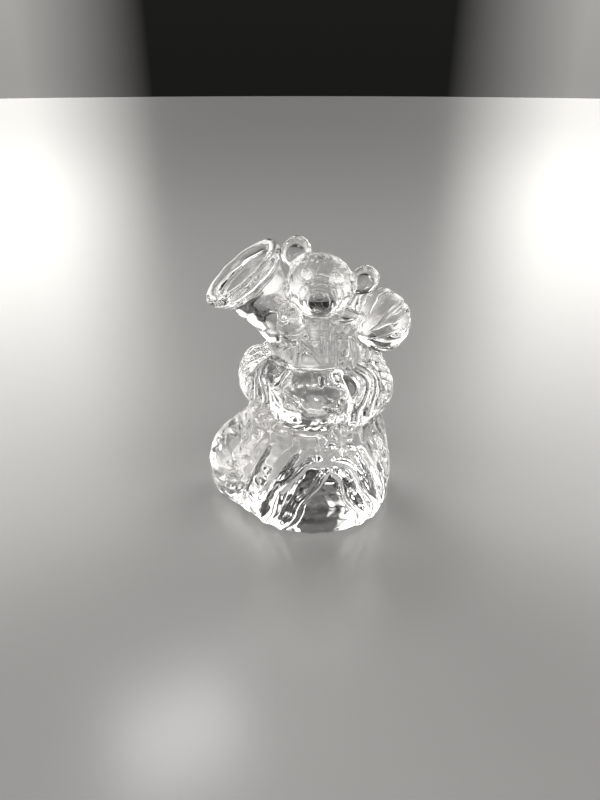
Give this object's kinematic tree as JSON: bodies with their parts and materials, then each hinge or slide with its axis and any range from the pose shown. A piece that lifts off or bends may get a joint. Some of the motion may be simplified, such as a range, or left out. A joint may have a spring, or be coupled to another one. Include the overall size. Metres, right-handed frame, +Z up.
{
  "type": "crystal glass figurine",
  "caption": "Solid crystal figurine of a teddy bear, a horn and a ball in a toy sack with a fur cuff and a sprig, standing on a flat base.",
  "frame": {"origin": "middle of the flat base that the figurine stands on", "axes": "+Z up, -Y the front that the bear faces, +X to the right as seen from the front"},
  "size_m": [0.0707, 0.0574, 0.0945],
  "materials": {
    "crystal": "fire-polished clear lead crystal"
  },
  "bodies": {
    "root": {"sack_belly": "crystal", "sack_side_bulge": "crystal", "sack_fold_left_outer": "crystal", "sack_fold_left_inner": "crystal", "sack_fold_right_inner": "crystal", "sack_fold_right_outer": "crystal", "cuff_roll": "crystal", "cuff_lobe_front": "crystal", "cuff_lobe_front_left": "crystal", "cuff_lobe_left": "crystal", "cuff_lobe_front_right": "crystal", "cuff_lobe_right": "crystal", "cuff_lobe_back_right": "crystal", "cuff_lobe_back": "crystal", "cuff_lobe_back_left": "crystal", "sprig_berry_top": "crystal", "sprig_berry_left": "crystal", "sprig_berry_right": "crystal", "sprig_knot": "crystal", "sprig_tail": "crystal", "toy_heap": "crystal", "bear_torso": "crystal", "bear_head": "crystal", "bear_ear_left": "crystal", "bear_ear_right": "crystal", "bear_muzzle": "crystal", "bear_nose": "crystal", "bear_eye_left": "crystal", "bear_eye_right": "crystal", "bear_arm_left": "crystal", "bear_paw_left": "crystal", "bear_arm_right": "crystal", "bear_paw_right": "crystal", "horn_bell": "crystal", "horn_rim": "crystal", "horn_tube": "crystal", "toy_ball": "crystal"}
  },
  "joints": []
}
